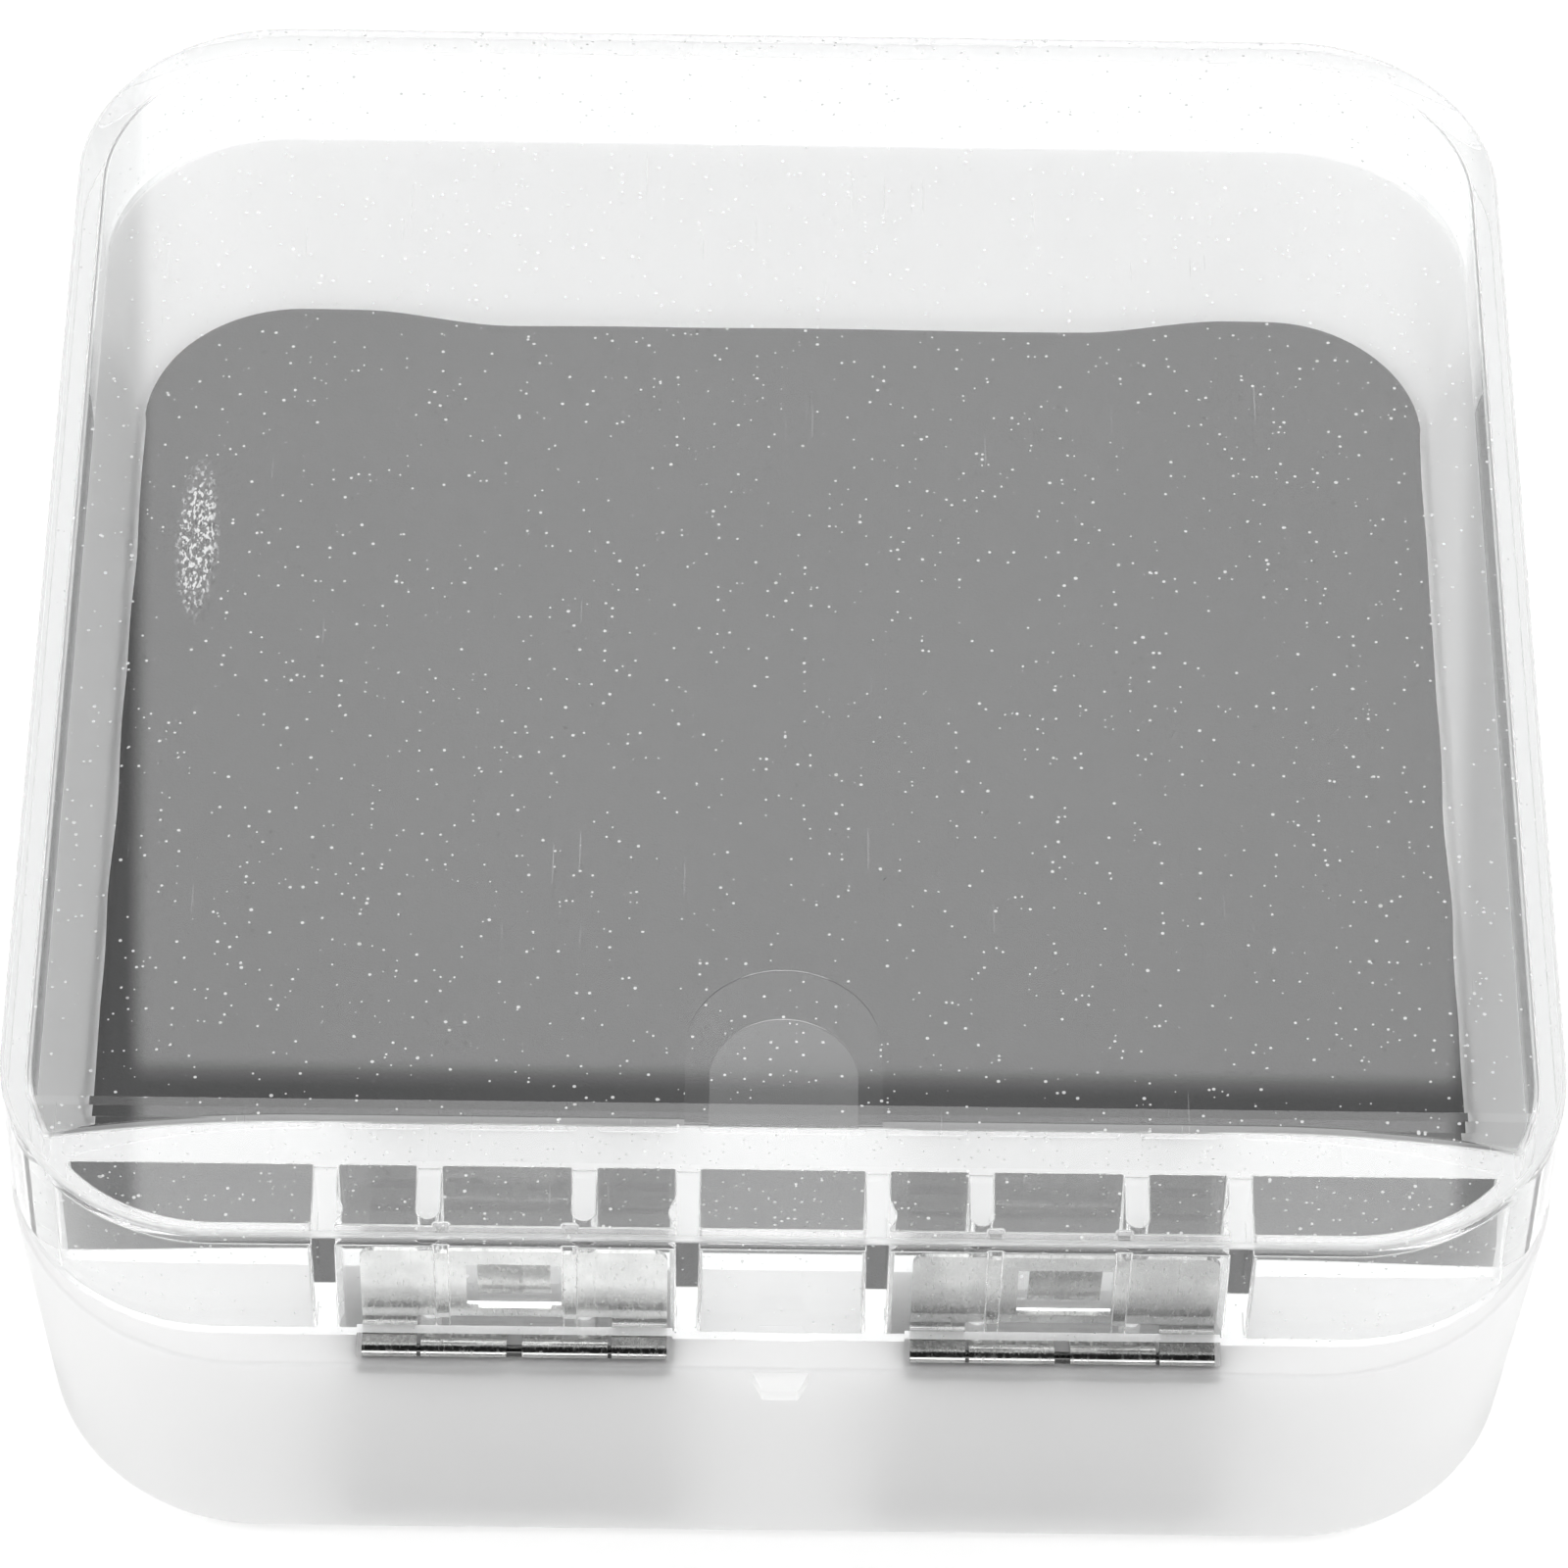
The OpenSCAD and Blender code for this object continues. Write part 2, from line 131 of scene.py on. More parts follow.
# Soft boxes: name, place, target, size, watts, faded share of width and height, and whether it is mirrored.
SOFT_BOXES = (
    ("back_box", (0.0052, 0.228, 0.306), (0.0052, -0.007, 0.036), (0.156, 0.178), 0.15, (0.02, 0.1), True),
    ("top_box", (0.0, -0.10, 0.90), (0.0, 0.0, 0.0), (0.9, 0.9), 2.8, None, False),
    ("left_fill", (-0.75, 0.0, 0.5), (0.0, 0.0, 0.02), (0.6, 0.3), 2.6, None, False),
    ("right_fill", (0.75, 0.0, 0.5), (0.0, 0.0, 0.02), (0.6, 0.3), 2.7, None, False),
    ("far_fill", (0.0, 0.75, 0.3), (0.0, 0.0, 0.02), (0.6, 0.3), 2.6, None, False),
    ("front_box", (0.0, -0.9, 0.5), (0.0, 0.0, 0.0), (0.9, 0.3), 2.2, None, True),
)
# Total internal reflection counts as a glossy bounce, so light guided in the clear lid needs many.
MAX_BOUNCES, GLOSSY_BOUNCES, TRANSMISSION_BOUNCES = 40, 40, 24

# ---------------------------------------------------------------- camera, world, lights and floor
CAMERA_AT = Vector((-0.00439, -0.32065, 0.41005))
CAMERA_TARGET = Vector((0.00027, 0.01168, 0.0))
CAMERA_ROLL = math.radians(1.36)
LENS_MM, SENSOR_MM, CLIP_START = 169.57, 36, 0.01


def make_camera():
    """Camera at the photograph's place, held slightly askew as in it."""
    data = bpy.data.cameras.new("camera")
    data.lens = LENS_MM
    data.sensor_width = SENSOR_MM
    data.clip_start = CLIP_START
    cam = bpy.data.objects.new("camera", data)
    aim = (CAMERA_TARGET - CAMERA_AT).to_track_quat("-Z", "Y")
    cam.matrix_world = Matrix.LocRotScale(CAMERA_AT, aim @ Quaternion((0, 0, 1), CAMERA_ROLL), None)
    SCENE.collection.objects.link(cam)
    SCENE.camera = cam


def soft_box(name, at, target, size, watts, faded, mirrored):
    """Rectangular light at a place, facing a target. faded gives the shares of its size that fade."""
    data = bpy.data.lights.new(name, "AREA")
    data.shape = "RECTANGLE"
    data.size, data.size_y = size
    data.energy = watts
    lamp = bpy.data.objects.new(name, data)
    aim = (Vector(target) - Vector(at)).to_track_quat("-Z", "Y")
    lamp.matrix_world = Matrix.LocRotScale(Vector(at), aim, None)
    lamp.visible_camera = False
    lamp.visible_glossy = mirrored
    SCENE.collection.objects.link(lamp)
    if faded:
        fade_edges(data, faded)


def fade_edges(data, faded):
    """Makes a light fall off smoothly towards its edges."""
    data.use_nodes = True
    nodes, links = data.node_tree.nodes, data.node_tree.links
    place = nodes.new("ShaderNodeNewGeometry")
    split = nodes.new("ShaderNodeSeparateXYZ")
    links.new(place.outputs["Parametric"], split.inputs["Vector"])
    fades = []
    for axis, share in zip("XY", faded):
        from_middle = node_of(nodes, "ShaderNodeMath", {1: 0.5}, operation="SUBTRACT")
        distance = node_of(nodes, "ShaderNodeMath", operation="ABSOLUTE")
        fade = node_of(nodes, "ShaderNodeMapRange", {"From Min": 0.5, "From Max": 0.5 - share},
                       interpolation_type="SMOOTHSTEP")
        links.new(split.outputs[axis], from_middle.inputs[0])
        links.new(from_middle.outputs["Value"], distance.inputs[0])
        links.new(distance.outputs["Value"], fade.inputs["Value"])
        fades.append(fade.outputs["Result"])
    both = node_of(nodes, "ShaderNodeMath", operation="MULTIPLY")
    links.new(fades[0], both.inputs[0])
    links.new(fades[1], both.inputs[1])
    links.new(both.outputs["Value"], nodes["Emission"].inputs["Strength"])


def make_world():
    """A dim studio for reflections: a sweep round the horizon and sides above it that are less dark than the
    ceiling, which runs from front to back. Seen directly, or through the clear lid, it is paler."""
    world = bpy.data.worlds.new("world")
    world.use_nodes = True
    nodes, links = world.node_tree.nodes, world.node_tree.links
    place = nodes.new("ShaderNodeTexCoord")
    split = nodes.new("ShaderNodeSeparateXYZ")
    aside = node_of(nodes, "ShaderNodeMath", operation="ABSOLUTE")
    above = node_of(nodes, "ShaderNodeMapRange", {"From Min": CEILING_END, "From Max": SIDES_START,
                                                  "To Min": CEILING, "To Max": SIDES},
                    interpolation_type="SMOOTHSTEP")
    level = node_of(nodes, "ShaderNodeMapRange", {"From Min": SWEEP_END, "From Max": CEILING_START,
                                                  "To Min": SWEEP}, interpolation_type="SMOOTHSTEP")
    links.new(place.outputs["Generated"], split.inputs["Vector"])
    links.new(split.outputs["X"], aside.inputs[0])
    links.new(aside.outputs["Value"], above.inputs["Value"])
    links.new(above.outputs["Result"], level.inputs["To Max"])
    links.new(split.outputs["Z"], level.inputs["Value"])
    path = nodes.new("ShaderNodeLightPath")
    seen = node_of(nodes, "ShaderNodeMath", operation="MAXIMUM")
    links.new(path.outputs["Is Camera Ray"], seen.inputs[0])
    links.new(path.outputs["Is Transmission Ray"], seen.inputs[1])
    strength = node_of(nodes, "ShaderNodeMix", {"B": BACKDROP})
    links.new(seen.outputs["Value"], strength.inputs["Factor"])
    links.new(level.outputs["Result"], strength.inputs["A"])
    links.new(strength.outputs["Result"], nodes["Background"].inputs["Strength"])
    nodes["Background"].inputs["Color"].default_value = (1, 1, 1, 1)
    SCENE.world = world


# ---------------------------------------------------------------- material helpers
def new_material(name):
    """A new material, its nodes and its links."""
    material = bpy.data.materials.new(name)
    material.use_nodes = True
    return material, material.node_tree.nodes, material.node_tree.links


def dress(node, material):
    """Gives a CAD node's object one material."""
    ob = NODES[node]
    ob.data.materials.clear()
    ob.data.materials.append(material)


def node_of(nodes, kind, inputs=(), **settings):
    """A shader node with its settings, and with the values of the named or numbered inputs."""
    node = nodes.new(kind)
    for key, value in settings.items():
        setattr(node, key, value)
    for key, value in dict(inputs).items():
        node.inputs[key].default_value = value
    return node


def math_of(material, operation, a, b):
    """Output of a Math node; a and b are sockets or numbers."""
    nodes, links = material.node_tree.nodes, material.node_tree.links
    node = node_of(nodes, "ShaderNodeMath", operation=operation)
    for socket, value in zip(node.inputs, (a, b)):
        if isinstance(value, (int, float)):
            socket.default_value = value
        else:
            links.new(value, socket)
    return node.outputs["Value"]


def ranged(material, value, low, high, to_low=0.0, to_high=1.0):
    """A value that runs smoothly from to_low to to_high as the given one goes from low to high."""
    nodes, links = material.node_tree.nodes, material.node_tree.links
    node = node_of(nodes, "ShaderNodeMapRange", {"From Min": low, "From Max": high, "To Min": to_low,
                                                 "To Max": to_high}, interpolation_type="SMOOTHSTEP")
    links.new(value, node.inputs["Value"])
    return node.outputs["Result"]


def stretched(material, scale):
    """Object coordinates in millimetres, scaled by three factors."""
    nodes, links = material.node_tree.nodes, material.node_tree.links
    place = nodes.new("ShaderNodeTexCoord")
    node = node_of(nodes, "ShaderNodeMapping", {"Scale": [k / MM for k in scale]})
    links.new(place.outputs["Object"], node.inputs["Vector"])
    return node.outputs["Vector"]


def place_in(material):
    """Object coordinates X, Y and Z in millimetres, as three outputs."""
    nodes, links = material.node_tree.nodes, material.node_tree.links
    split = nodes.new("ShaderNodeSeparateXYZ")
    links.new(stretched(material, (1, 1, 1)), split.inputs["Vector"])
    return split.outputs["X"], split.outputs["Y"], split.outputs["Z"]


def between(material, factor, low, high):
    """Colour between two others by a factor's output. Each colour is an output or a value."""
    nodes, links = material.node_tree.nodes, material.node_tree.links
    node = node_of(nodes, "ShaderNodeMix", data_type="RGBA")
    for socket, value in zip((node.inputs["Factor"], node.inputs[6], node.inputs[7]), (factor, low, high)):
        if isinstance(value, tuple):
            socket.default_value = value
        else:
            links.new(value, socket)
    return node.outputs[2]


def noise_of(material, scale, detail=3.0):
    """Noise with a value round 0.5 whose features are about 1 / scale millimetres, for three scales."""
    nodes, links = material.node_tree.nodes, material.node_tree.links
    node = node_of(nodes, "ShaderNodeTexNoise", {"Scale": 1.0, "Detail": detail})
    links.new(stretched(material, scale), node.inputs["Vector"])
    return node.outputs["Fac"]


def specks(material, scale, radius, share):
    """Mask of small spots: one in each cell of 1 / scale millimetres, in that share of the cells."""
    nodes, links = material.node_tree.nodes, material.node_tree.links
    node = node_of(nodes, "ShaderNodeTexVoronoi", {"Scale": 1.0})
    links.new(stretched(material, scale), node.inputs["Vector"])
    split = nodes.new("ShaderNodeSeparateColor")
    links.new(node.outputs["Color"], split.inputs["Color"])
    kept = math_of(material, "GREATER_THAN", split.outputs[0], 1 - share)
    size = math_of(material, "MULTIPLY", split.outputs[1], radius)
    spot = math_of(material, "LESS_THAN", node.outputs["Distance"], size)
    return math_of(material, "MULTIPLY", spot, kept)


def bump(material, height, strength, distance_mm, under=None):
    """Normal of a surface raised by height, on top of another normal if one is given."""
    nodes, links = material.node_tree.nodes, material.node_tree.links
    node = node_of(nodes, "ShaderNodeBump", {"Strength": strength, "Distance": distance_mm * MM})
    links.new(height, node.inputs["Height"])
    if under is not None:
        links.new(under, node.inputs["Normal"])
    return node.outputs["Normal"]


def clear_plastic(name, haze, roughness):
    """Clear polystyrene with dust and fine scratches on it. Shadow and diffuse rays pass straight through."""
    material, nodes, links = new_material(name)
    shader = nodes["Principled BSDF"]
    shader.inputs["Base Color"].default_value = CLEAR_TINT
    shader.inputs["Roughness"].default_value = roughness
    shader.inputs["IOR"].default_value = CLEAR_IOR
    dirt = math_of(material, "MAXIMUM", specks(material, *FINE_DUST), specks(material, *COARSE_DUST))
    scratches = math_of(material, "MULTIPLY", specks(material, *SCRATCHES), SCRATCH_COVER)
    dirt = math_of(material, "MAXIMUM", dirt, scratches)
    dirt = math_of(material, "MAXIMUM", dirt, scuff(material))
    clear = math_of(material, "SUBTRACT", 1.0 - haze, math_of(material, "MULTIPLY", dirt, DUST_COVER))
    links.new(clear, shader.inputs["Transmission Weight"])
    links.new(sink_mark(material), shader.inputs["Normal"])
    open_shader = nodes.new("ShaderNodeBsdfTransparent")
    path = nodes.new("ShaderNodeLightPath")
    mix = nodes.new("ShaderNodeMixShader")
    either = math_of(material, "MAXIMUM", path.outputs["Is Shadow Ray"], path.outputs["Is Diffuse Ray"])
    links.new(either, mix.inputs["Fac"])
    links.new(shader.outputs["BSDF"], mix.inputs[1])
    links.new(open_shader.outputs["BSDF"], mix.inputs[2])
    links.new(mix.outputs["Shader"], nodes["Material Output"].inputs["Surface"])
    return material


def scuff(material):
    """A patch of short white scratches on the panel's left side."""
    x, y, _ = place_in(material)
    across = math_of(material, "MULTIPLY", math_of(material, "SUBTRACT", x, SCUFF_X), 1 / SCUFF_HALF_W)
    along = math_of(material, "MULTIPLY", math_of(material, "SUBTRACT", y, SCUFF_Y), 1 / SCUFF_HALF_L)
    reach = math_of(material, "ADD", math_of(material, "MULTIPLY", across, across),
                    math_of(material, "MULTIPLY", along, along))
    inside = ranged(material, reach, 1.0, 0.2)
    marks = ranged(material, noise_of(material, SCUFF_GRAIN, 5.0), *SCUFF_STEP)
    return math_of(material, "MULTIPLY", inside, marks)


def sink_mark(material):
    """The shallow dip that moulding leaves in the panel beside the thick cross wall."""
    nodes, links = material.node_tree.nodes, material.node_tree.links
    _, y, _ = place_in(material)
    start_y, dip_y = CROSS_Y + SINK_START, CROSS_Y + SINK_BOTTOM
    fall = node_of(nodes, "ShaderNodeMapRange", {"From Min": start_y, "From Max": dip_y})
    rise = node_of(nodes, "ShaderNodeMapRange", {"From Min": dip_y - SINK_RISE, "From Max": dip_y})
    links.new(y, fall.inputs["Value"])
    links.new(y, rise.inputs["Value"])
    curved = math_of(material, "POWER", fall.outputs["Result"], 2.0)
    depth = math_of(material, "MINIMUM", curved, rise.outputs["Result"])
    return bump(material, math_of(material, "MULTIPLY", depth, -1.0), 1.0, SINK_DEPTH)


def white_plastic():
    """Milky polystyrene that light enters and leaves again."""
    material, nodes, links = new_material("white_plastic")
    shader = nodes["Principled BSDF"]
    shader.inputs["Subsurface Weight"].default_value = 1.0
    shader.inputs["Subsurface Radius"].default_value = (1, 1, 1)
    shader.inputs["Subsurface Scale"].default_value = LIGHT_REACH
    links.new(between(material, noise_of(material, CLOUDS), *WHITE_TONES), shader.inputs["Base Color"])
    shader.inputs["Roughness"].default_value = WHITE_ROUGHNESS
    return material


def foam():
    """Fine closed-cell foam, very dark grey, with a little pale lint on it."""
    material, nodes, links = new_material("foam")
    shader = nodes["Principled BSDF"]
    grain = noise_of(material, FOAM_GRAIN, 4.0)
    tone = between(material, grain, *FOAM_TONES)
    links.new(between(material, specks(material, *LINT), tone, LINT_TONE), shader.inputs["Base Color"])
    shader.inputs["Roughness"].default_value = FOAM_ROUGHNESS
    links.new(bump(material, grain, 0.6, FOAM_RELIEF), shader.inputs["Normal"])
    return material


def steel(name, dark, light):
    """Plain steel: fine scratches both ways, and patches between two tones. Its plates are painted paler
    towards the left, a painted sheen for the brighter light they catch there, but only the plates: the
    barrels and the pins lie below them."""
    material, nodes, links = new_material(name)
    shader = nodes["Principled BSDF"]
    shader.inputs["Metallic"].default_value = 1.0
    along = noise_of(material, ROLLING_MARKS, 4.0)
    across = noise_of(material, WEAR_MARKS, 4.0)
    patches = ranged(material, noise_of(material, PATCHES), *PATCH_STEP)
    x, _, z = place_in(material)
    to_left = ranged(material, x, HINGE_X / 2, -HINGE_X / 2, 0.0, LEFT_SHEEN_SHARE)
    # Painted sheen: the plates are painted paler towards the left, where they catch more light.
    painted_left_sheen = math_of(material, "MULTIPLY", to_left, ranged(material, z, RELIEF_Z, RELIEF_Z + 1))
    share = math_of(material, "ADD", math_of(material, "MULTIPLY", patches, PATCH_SHARE), painted_left_sheen)
    tones = [(tone, tone, tone * METAL_WARMTH, 1) for tone in (dark, light)]
    links.new(between(material, share, *tones), shader.inputs["Base Color"])
    links.new(ranged(material, across, *WEAR_STEP, *STEEL_ROUGHNESS), shader.inputs["Roughness"])
    rolled = bump(material, along, 0.5, ROLLING_RELIEF)
    links.new(bump(material, across, 0.5, WEAR_RELIEF, rolled), shader.inputs["Normal"])
    return material


def floor_material():
    """Pale floor that glows a little, like a light table."""
    material, nodes, _ = new_material("floor")
    shader = nodes["Principled BSDF"]
    shader.inputs["Base Color"].default_value = (FLOOR_TONE, FLOOR_TONE, FLOOR_TONE, 1)
    shader.inputs["Roughness"].default_value = FLOOR_ROUGHNESS
    shader.inputs["Emission Color"].default_value = (1, 1, 1, 1)
    shader.inputs["Emission Strength"].default_value = FLOOR_GLOW
    return material


# ---------------------------------------------------------------- outlines
def rounded(corners):
    """Closed anticlockwise outline through (x, y, radius) corners, each rounded by its radius."""
    outline = []
    for i, (x, y, r) in enumerate(corners):
        here = Vector((x, y))
        if r <= 0:
            outline.append(here)
            continue
        before = (Vector(corners[i - 1][:2]) - here).normalized()
        after = (Vector(corners[(i + 1) % len(corners)][:2]) - here).normalized()
        half = math.acos(max(-1, min(1, before.dot(after)))) / 2
        centre = here + (before + after).normalized() * (r / math.sin(half))
        start = here + before * (r / math.tan(half)) - centre
        turn = math.pi - 2 * half
        if before.cross(after) > 0:
            turn = -turn
        steps = ARC_STEPS if r > 2 else ARC_STEPS // 3
        for k in range(steps + 1):
            c, s = math.cos(turn * k / steps), math.sin(turn * k / steps)
            outline.append(centre + Vector((start.x * c - start.y * s, start.x * s + start.y * c)))
    return outline


def inset(outline, d):
    """The outline moved inwards by d, point for point."""
    moved = []
    for i, p in enumerate(outline):
        a = (p - outline[i - 1]).normalized()
        b = (outline[(i + 1) % len(outline)] - p).normalized()
        n = Vector((-a.y - b.y, a.x + b.x)).normalized()
        moved.append(p + n * (d / max(0.6, n.dot(Vector((-b.y, b.x))))))
    return moved


def plan(half_w, near, far, near_r, far_r):
    """Rounded rectangle with one radius for its near corners and one for its far ones."""
    return rounded([(-half_w, near, near_r), (half_w, near, near_r),
                    (half_w, far, far_r), (-half_w, far, far_r)])


def cross_face(x, ahead=0.0):
    """Y of the cross wall's cavity face at x, or of a line that runs ahead of it."""
    r = CROSS_END_R + ahead
    return CROSS_Y - CROSS_END_R + math.sqrt(r * r - max(0.0, abs(x) - CROSS_STRAIGHT) ** 2)


def corner_face(x, centre, r):
    """Y of the lower quarter of a corner arc at x, level before the arc starts."""
    along = max(0.0, min(r, abs(x) - centre[0]))
    return centre[1] - math.sqrt(r * r - along * along)


def meeting(above, below, low, high):
    """The x between low and high at which the two curves cross."""
    for _ in range(50):
        mid = (low + high) / 2
        low, high = (mid, high) if above(mid) > below(mid) else (low, mid)
    return low


def spread(a, b, n):
    """n + 1 values at equal steps from a to b."""
    return [a + (b - a) * i / n for i in range(n + 1)]


def main_cavity(half_w, far, far_r, centre, r):
    """Room in front of the cross wall. centre and r are the near corner's arc, on the right side."""
    end = meeting(cross_face, lambda x: corner_face(x, centre, r), SEARCH_X, centre[0] + r)
    corners = [(x, cross_face(x), 0) for x in spread(-end + TIP_CLEAR, end - TIP_CLEAR, 60)]
    corners.append((end, cross_face(end), CAVITY_TIP_R))
    start = math.acos((end - centre[0]) / r)
    side = [(centre[0] + r * math.cos(a), centre[1] - r * math.sin(a), 0) for a in spread(start, 0, 20)][2:]
    corners += side
    corners += [(half_w, far, far_r), (-half_w, far, far_r)]
    corners += [(-x, y, 0) for x, y, _ in reversed(side)]
    corners.append((-end, cross_face(end), CAVITY_TIP_R))
    return rounded(corners)


def end_cell(side, centre, r):
    """The lid's cell between the outer rib, the cross wall and the corner, on side -1 or 1."""
    start, far = OUTER_RIB_X + RIB_T / 2, CROSS_Y - CROSS_T
    end = meeting(lambda x: far, lambda x: corner_face(x, centre, r), SEARCH_X, centre[0] + r - TOUCH)
    corners = [(x, corner_face(x, centre, r), 0) for x in spread(start, end - CELL_CLEAR, 30)]
    corners += [(end, far, CELL_R), (start, far, CELL_R)]
    corners[0] = (*corners[0][:2], CELL_R)
    if side < 0:
        corners = [(-x, y, q) for x, y, q in reversed(corners)]
    return rounded(corners)


def centre_cell():
    """The lid's cell between the two hinges."""
    return plan(INNER_RIB_X - RIB_T / 2, POCKET_Y, CROSS_Y - CROSS_T, CELL_R, CELL_R)


def hinge_pocket(side):
    """Cell for one hinge: bumps on the end ribs, two backing ribs and two low front ribs."""
    left, right = INNER_RIB_X + RIB_T / 2, OUTER_RIB_X - RIB_T / 2
    far, half_rib, half_front = CROSS_Y - CROSS_T, RIB_T / 2, FRONT_RIB_T / 2
    bump_near, bump_far = BUMP_Y - BUMP_W / 2 + BUMP_STEEP, BUMP_Y + BUMP_W / 2
    corners = [(left, POCKET_Y, POCKET_R)]
    for s in (-1, 1):
        x = HINGE_X + s * FRONT_RIB_X
        corners += [(x - half_front, POCKET_Y, 0), (x - half_front, POCKET_Y + FRONT_RIB_H, FRONT_RIB_R),
                    (x + half_front, POCKET_Y + FRONT_RIB_H, FRONT_RIB_R), (x + half_front, POCKET_Y, 0)]
    corners += [(right, POCKET_Y, POCKET_R), (right, bump_near, BUMP_FOOT_R),
                (right - BUMP_H, BUMP_Y, BUMP_R), (right, bump_far, BUMP_R), (right, far, CELL_R)]
    for s in (1, -1):
        x = HINGE_X + s * BACKING_RIB_X
        corners += [(x + half_rib, far, CELL_R), (x + half_rib, RIB_TIP_Y, half_rib - TIP_FLAT),
                    (x - half_rib, RIB_TIP_Y, half_rib - TIP_FLAT), (x - half_rib, far, CELL_R)]
    corners += [(left, far, CELL_R), (left, bump_far, BUMP_R), (left + BUMP_H, BUMP_Y, BUMP_R),
                (left, bump_near, BUMP_FOOT_R)]
    if side < 0:
        corners = [(-x, y, r) for x, y, r in reversed(corners)]
    return rounded(corners)


# ---------------------------------------------------------------- meshes
def fillet(z0, z1, r0, steps=6):
    """(z, inset) pairs of a quarter round that starts at z0, ends at z1 and moves in by r0."""
    return [(z0 + (z1 - z0) * math.sin(a), r0 * (1 - math.cos(a))) for a in spread(0, math.pi / 2, steps)]


def object_from(bm, name, materials):
    """Object made of bm, with its materials in order."""
    bmesh.ops.remove_doubles(bm, verts=bm.verts, dist=1e-5)
    bmesh.ops.recalc_face_normals(bm, faces=bm.faces)
    mesh = bpy.data.meshes.new(name)
    bm.to_mesh(mesh)
    bm.free()
    ob = bpy.data.objects.new(name, mesh)
    for material in materials:
        mesh.materials.append(material)
    SCENE.collection.objects.link(ob)
    return ob


def add_stack(bm, rings):
    """Side faces through rings of points that match one for one. Returns the end rings' vertices."""
    loops = [[bm.verts.new((p.x, p.y, z)) for p in ring] for z, ring in rings]
    for low, high in zip(loops, loops[1:]):
        for i in range(len(low)):
            j = (i + 1) % len(low)
            bm.faces.new((low[i], low[j], high[j], high[i]))
    return loops[0], loops[-1]


def add_shell(bm, outer, cells):
    """Closed body: an outer stack and the stacks of its cells, all open towards the first ring's level."""
    rim, cap = add_stack(bm, outer)
    bm.faces.new(cap)
    rims = [rim]
    for cell in cells:
        first, last = add_stack(bm, cell)
        bm.faces.new(last)
        rims.append(first)
    flat = [v for loop in rims for v in loop]
    for tri in tessellate_polygon([[v.co for v in loop] for loop in rims]):
        bm.faces.new([flat[i] for i in tri])


def add_prism(bm, outline, z0, z1, slot=0):
    """Closed upright body whose faces have one material slot."""
    low, high = add_stack(bm, [(z0, outline), (z1, outline)])
    made = [bm.faces.new(low), bm.faces.new(high)] + list({f for v in low for f in v.link_faces})
    for face in made:
        face.material_index = slot


def rectangle(x0, x1, y0, y1):
    """Closed anticlockwise outline."""
    return [Vector(p) for p in ((x0, y0), (x1, y0), (x1, y1), (x0, y1))]


def combine(ob, tool, operation):
    """Cuts tool from ob, or joins it to ob, and drops tool."""
    step = ob.modifiers.new("combine", "BOOLEAN")
    step.operation = operation
    step.solver = "MANIFOLD"
    step.object = tool
    bpy.context.view_layer.update()
    mesh = bpy.data.meshes.new_from_object(ob.evaluated_get(bpy.context.evaluated_depsgraph_get()))
    ob.modifiers.clear()
    ob.data = mesh
    mesh.name = ob.name
    bpy.data.objects.remove(tool)


def shade(ob, angle=30):
    """Brings a body made in millimetres to metres, with smooth round faces and crisp flat ones."""
    ob.data.transform(Matrix.Scale(MM, 4))
    ob.data.shade_smooth()
    ob.data.set_sharp_from_angle(angle=math.radians(angle))
    normals = ob.modifiers.new("flat_faces", "WEIGHTED_NORMAL")
    normals.keep_sharp = True
    normals.weight = 100


def cell_rings(outline, z_open, z_end, round_r):
    """Stack of one cell, from a slightly bevelled lip at z_open to a rounded end at z_end."""
    up = 1 if z_end > z_open else -1
    rings = [(z_open, inset(outline, -LIP)), (z_open + up * LIP, inset(outline, 0.0))]
    for z, d in fillet(z_end - up * round_r, z_end, round_r):
        rings.append((z, inset(outline, CELL_TAPER + d)))
    return rings


def add_grooves(bm, near, z0, z1, slot=0):
    """Room for the two hinges' barrels, which both sit a little to the right of their pockets."""
    for s in (-1, 1):
        x = s * HINGE_X + HINGE_SHIFT
        outline = rectangle(x - GROOVE_L / 2, x + GROOVE_L / 2, near, POCKET_Y + TOUCH)
        add_prism(bm, outline, z0, z1, slot)


